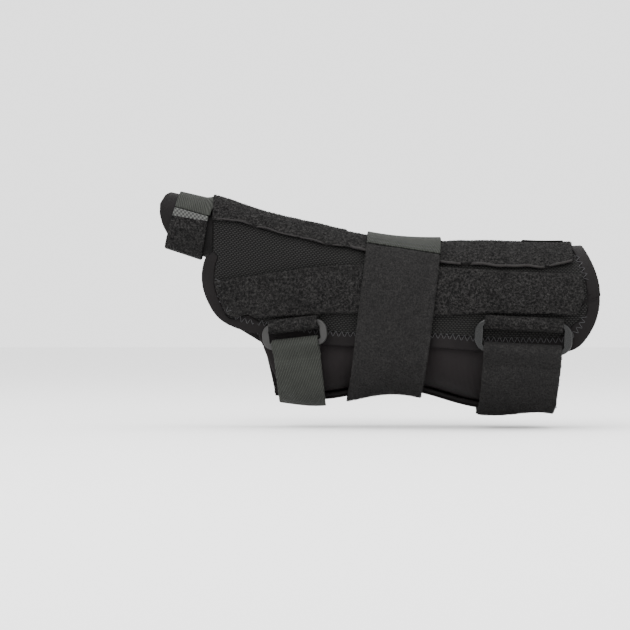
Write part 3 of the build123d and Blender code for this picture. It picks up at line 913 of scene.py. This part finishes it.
class SPLINT_OT_pile_pockets(bpy.types.Operator):
    """Adds the pile-faced stay pockets and the two pile strips on the thumb side"""

    bl_idname = "splint.pile_pockets"
    bl_label = "Pile Pockets"

    def execute(self, context):
        for name, node, cell, seed in (("palm_pile_pocket", "volar_pile_pocket", 0.55, 11),
                                       ("back_pile_pocket", "dorsal_pile_pocket", 0.8, 12),
                                       ("thumb_pile_strip", "thumb_pile_pocket", 0.55, 13),
                                       ("forearm_pile_strip", "radial_pile_strip", 0.6, 14)):
            pocket = softened(name, [node], cell, 4, way={"at_low": False})
            waved(pocket, 0.35, 9, seed)
            drawn_out(pocket, *ENDS_DRAWN.get(name, (0, 0)))
            paint(pocket, "pile")
            nap(pocket, seed, share=1.0 if name != "back_pile_pocket" else 0.6)
            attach(pocket, "shell")
            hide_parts(node)
        flap = softened("pocket_flap_cloth", ["pocket_flap"], 0.5, 3, way={"at_low": False})
        waved(flap, 0.2, 12, 5.0)
        paint(flap, "binding")
        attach(flap, "pocket_flap")
        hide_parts("pocket_flap")
        min(flat_size(flap), 0.00155)
        return {"FINISHED"}


class SPLINT_OT_stays(bpy.types.Operator):
    """Finishes the aluminium stays and the plastic thumb stay"""

    bl_idname = "splint.stays"
    bl_label = "Stays"

    def execute(self, context):
        finishes = {"volar_stay": "metal", "dorsal_stay": "metal", "thumb_stay": "stay plastic"}
        for node, finish in finishes.items():
            paint(node_object(node), finish)
        return {"FINISHED"}


class SPLINT_OT_rings(bpy.types.Operator):
    """Finishes the two moulded rings"""

    bl_idname = "splint.rings"
    bl_label = "Rings"

    def execute(self, context):
        paint(node_object("palm_ring"), "grey plastic")
        paint(node_object("forearm_ring"), "black plastic")
        return {"FINISHED"}


class SPLINT_OT_ring_straps(bpy.types.Operator):
    """Adds the palm and forearm straps: their ring tabs, the leads underneath and the folded-back ends"""

    bl_idname = "splint.ring_straps"
    bl_label = "Ring Straps"

    def execute(self, context):
        for arm, face, lean, seed, width, lead_flat in (
                ("palm", "hook", PALM_LEAN, 21, PALM_WIDTH, (25, 100)),
                ("forearm", "short pile", FOREARM_LEAN, 31, FOREARM_WIDTH, (39, 110))):
            way = {"lean": lean}
            tab = softened(arm + "_ring_tab_cloth", [arm + "_ring_tab"], 0.4, 4, swell=0.1, way=way)
            paint(tab, "pile")
            nap(tab, seed, share=1.3, facing=-0.2)
            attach(tab, "shell")
            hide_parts(arm + "_ring_tab")

            lead = softened(arm + "_strap_lead_cloth", [arm + "_strap_lead"], 0.5, 2, way=way)
            paint(lead, "pile")
            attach(lead, "shell")
            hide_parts(arm + "_strap_lead")
            flat_size(lead)

            loop_nodes = [arm + "_strap_loop", arm + "_strap_tail"]
            over = softened(arm + "_strap", loop_nodes, 0.5, 5, swell=0.16, way=way)
            paint(over, face)
            if face == "short pile":
                nap(over, seed + 1, share=1.1, facing=-0.1)
            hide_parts(*loop_nodes)
            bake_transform(over)
            declare_band(over, width)
            if arm == "forearm":
                hook = softened("forearm_hook_tab_cloth", ["forearm_hook_tab"], 0.55, 3, way=way)
                paint(hook, "hook")
                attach(hook, "forearm_tail")
                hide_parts("forearm_hook_tab")
                declare_band(hook, width)
        return {"FINISHED"}


class SPLINT_OT_wrist_strap(bpy.types.Operator):
    """Adds the wide pile strap round the wrist and the woven tab over its thumb side"""

    bl_idname = "splint.wrist_strap"
    bl_label = "Wrist Strap"

    def execute(self, context):
        strap = softened("wrist_strap_cloth", ["wrist_strap"], 0.62, 3, way={"lean": WRIST_LEAN})
        waved(strap, 0.3, 16, 41)
        paint(strap, "short pile")
        nap(strap, 41, share=0.9)
        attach(strap, "shell")
        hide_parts("wrist_strap")
        way = {"at_low": False, "lean": WRIST_LEAN}
        tab = softened("wrist_hook_tab_cloth", ["wrist_hook_tab"], 0.5, 3, swell=0.1, way=way)
        paint(tab, "hook")
        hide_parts("wrist_hook_tab")
        seam = stitched("wrist_tab_seam", tree_over(tab), WRIST_TAB_ROWS, length=1.5, gap=0.4, radius=0.15)
        paint(seam, "thread")
        for cloth_piece in (tab, seam):
            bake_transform(cloth_piece)
        return {"FINISHED"}


class SPLINT_OT_thumb_strap(bpy.types.Operator):
    """Adds the thumb strap: pile underneath, then a checkered edge and the woven tab over the top"""

    bl_idname = "splint.thumb_strap"
    bl_label = "Thumb Strap"

    def execute(self, context):
        strap = softened("thumb_strap_cloth", ["thumb_strap"], 0.42, 3, swell=0.1, way={"at_low": False})
        paint(strap, "pile", "checker")
        for face in strap.data.polygons:
            x, y, z = face.center / MM
            if z + 0.17 * x > 19.3 and y < 16:
                face.material_index = 1
        nap(strap, 51, share=1.2, keep=lambda m: m[:, 2] + 0.17 * m[:, 0] < 19.3)
        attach(strap, "shell")
        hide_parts("thumb_strap")
        declare_band(strap, THUMB_WIDTH)
        way = {"at_low": False, "lean": THUMB_LEAN}
        tab = softened("thumb_hook_tab_cloth", ["thumb_hook_tab"], 0.42, 3, swell=0.1, way=way)
        co = vertices_of(tab.data)
        _, out = around(co)
        share = np.clip((co[:, 0] / MM + 197.0) / 3.7, 0, 1)
        co += out * (share**1.5 * 1.9 * MM)[:, None]
        co[:, 0] += share * 2.2 * MM
        set_vertices(tab.data, co)
        paint(tab, "hook")
        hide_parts("thumb_hook_tab")
        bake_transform(tab)
        declare_band(tab, THUMB_WIDTH)
        return {"FINISHED"}


class SPLINT_OT_stitching(bpy.types.Operator):
    """Adds the sewing: zigzag along the bindings, piping along the pile strips and rows along the palm pocket
    """

    bl_idname = "splint.stitching"
    bl_label = "Stitching"

    def execute(self, context):
        of = bpy.data.objects
        face = tree_over(of["palm_panel"], of["mesh_cover"], of["palm_panel_binding"], of["palm_pile_pocket"],
                         of["thumb_pile_strip"], of["forearm_pile_strip"])
        edges = [VOLAR_EDGE, VOLAR_EDGE_TOP]
        zigzag = stitched("binding_zigzag", face, edges, "zigzag", length=2.9, width=3.0, radius=0.13)
        paint(zigzag, "thread")
        rows = [POCKET_LOW, POCKET_HIGH]
        pocket = stitched("pocket_stitching", face, rows, length=1.9, gap=0.7, radius=0.14)
        paint(pocket, "dark thread")
        pipes = []
        for name, line, radius in (("thumb_strip_piping", THUMB_STRIP_LOW, 0.42),
                                   ("forearm_strip_hem", RADIAL_STRIP_LOW, 0.7)):
            fine = smooth_line(line, 0.8)
            fine[:, 1] += 0.35 * np.sin(fine[:, 0] / 3.4) + 0.2 * np.sin(fine[:, 0] / 1.9 + 1)
            pipe = tube(name, on_surface(face, fine, -0.1), radius)
            paint(pipe, "dark thread")
            pipes.append(pipe)
        for piece in (zigzag, pocket, *pipes):
            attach(piece, "shell")
        return {"FINISHED"}


class SPLINT_OT_stage(bpy.types.Operator):
    """Adds the pale floor, the soft lights and the camera"""

    bl_idname = "splint.stage"
    bl_label = "Stage"

    def execute(self, context):
        bpy.ops.object.select_all(action="DESELECT")
        bpy.ops.mesh.primitive_plane_add(size=1, location=(-0.12, 0.6, -0.052))
        floor = bpy.context.active_object
        floor.name = "floor"
        floor.scale = (8, 6, 1)
        s = Shade("pale floor")
        s.finish(s.mix(s.grain(3, 2), (0.86, 0.86, 0.86), (0.90, 0.90, 0.90)), 0.9)
        floor.data.materials.append(s.material)
        world = bpy.data.worlds.new("soft white room")
        bpy.context.scene.world = world
        world.use_nodes = True
        back = world.node_tree.nodes["Background"]
        back.inputs[0].default_value, back.inputs[1].default_value = (1.0, 1.0, 1.0, 1.0), 2.2
        for name, place, turn, size, power in (
                ("key light", (-0.5, -0.9, 0.8), (0.85, 0.0, -0.5), 0.7, 12.0),
                ("fill light", (0.6, -1.0, 0.3), (1.25, 0.0, 0.55), 0.8, 5.0),
                ("top light", (-0.1, 0.1, 0.9), (0.0, 0.0, 0.0), 0.8, 6.0)):
            bpy.ops.object.light_add(type="AREA", location=place, rotation=turn)
            light = bpy.context.active_object
            light.name, light.data.energy, light.data.size = name, power, size
        bpy.ops.object.camera_add(location=(-0.1415, -1.45, 0.0050), rotation=(math.pi / 2, 0, 0))
        camera = bpy.context.active_object
        camera.data.sensor_width = 36
        camera.data.lens = 36 * 1.43 / 0.315
        camera.data.clip_start = 0.05
        bpy.context.scene.camera = camera
        return {"FINISHED"}


class SPLINT_PT_panel(bpy.types.Panel):
    """Lists the splint's settings and operators"""

    bl_label = "Wrist Splint"
    bl_idname = "SPLINT_PT_panel"
    bl_space_type = "VIEW_3D"
    bl_region_type = "UI"
    bl_category = "Wrist Splint"

    def draw(self, context):
        for group in (context.scene.splint_cloth, context.scene.splint_sizes):
            box = self.layout.box()
            for key in group.__annotations__:
                box.prop(group, key)
        for operator in OPERATORS:
            self.layout.operator(operator.bl_idname)


OPERATORS = (
    SPLINT_OT_panels, SPLINT_OT_mesh_cover, SPLINT_OT_gusset, SPLINT_OT_thumb_sleeve, SPLINT_OT_pile_pockets,
    SPLINT_OT_stays, SPLINT_OT_rings, SPLINT_OT_ring_straps, SPLINT_OT_wrist_strap, SPLINT_OT_thumb_strap,
    SPLINT_OT_stitching, SPLINT_OT_stage,
)
CLASSES = (SplintClothSettings, SplintSizeSettings, *OPERATORS, SPLINT_PT_panel)


def register():
    for made in CLASSES:
        bpy.utils.register_class(made)
    bpy.types.Scene.splint_cloth = PointerProperty(type=SplintClothSettings)
    bpy.types.Scene.splint_sizes = PointerProperty(type=SplintSizeSettings)


def unregister():
    del bpy.types.Scene.splint_cloth, bpy.types.Scene.splint_sizes
    for made in reversed(CLASSES):
        bpy.utils.unregister_class(made)


def main():
    register()
    for operator in OPERATORS:
        group, name = operator.bl_idname.split(".")
        getattr(getattr(bpy.ops, group), name)()


if __name__ == "__main__":
    main()
